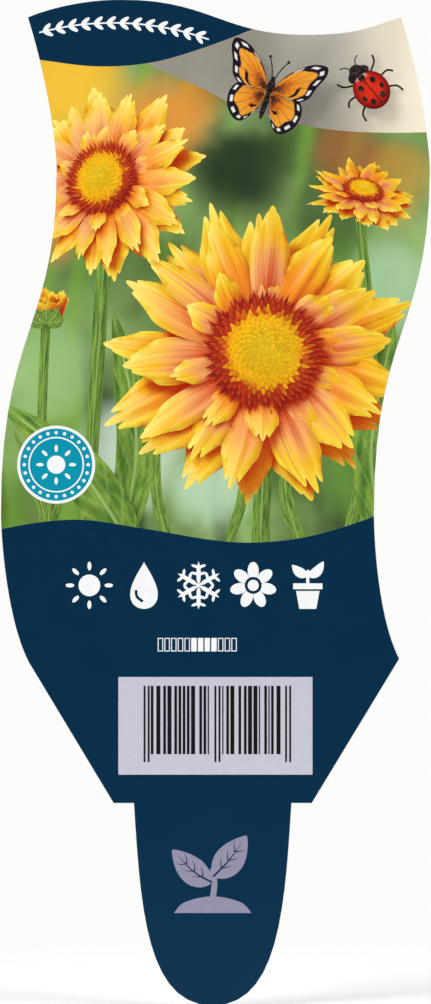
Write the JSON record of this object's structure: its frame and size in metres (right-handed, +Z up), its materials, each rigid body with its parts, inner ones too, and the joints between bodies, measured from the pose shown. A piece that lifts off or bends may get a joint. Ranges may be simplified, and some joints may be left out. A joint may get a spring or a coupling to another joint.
{
  "type": "stick-in plant label",
  "caption": "Flat die-cut plastic plant label: a wavy printed head that tapers to two shoulders, and a round-tipped stake that pushes into the soil of a pot.",
  "frame": {"origin": "on the back face, where the stake's centreline meets the line of the two shoulders, which is as deep as the label goes into the soil", "axes": "+Z up along the stake towards the head, +X to the right as the printed front is read, and the printed front faces -Y"},
  "size_m": [0.0731, 0.0005, 0.1714],
  "materials": {
    "printed_plastic": "white polystyrene sheet printed in full colour on the front, satin varnish, navy over the head's foot and the stake"
  },
  "bodies": {
    "root": {"label": "printed_plastic"}
  },
  "joints": []
}
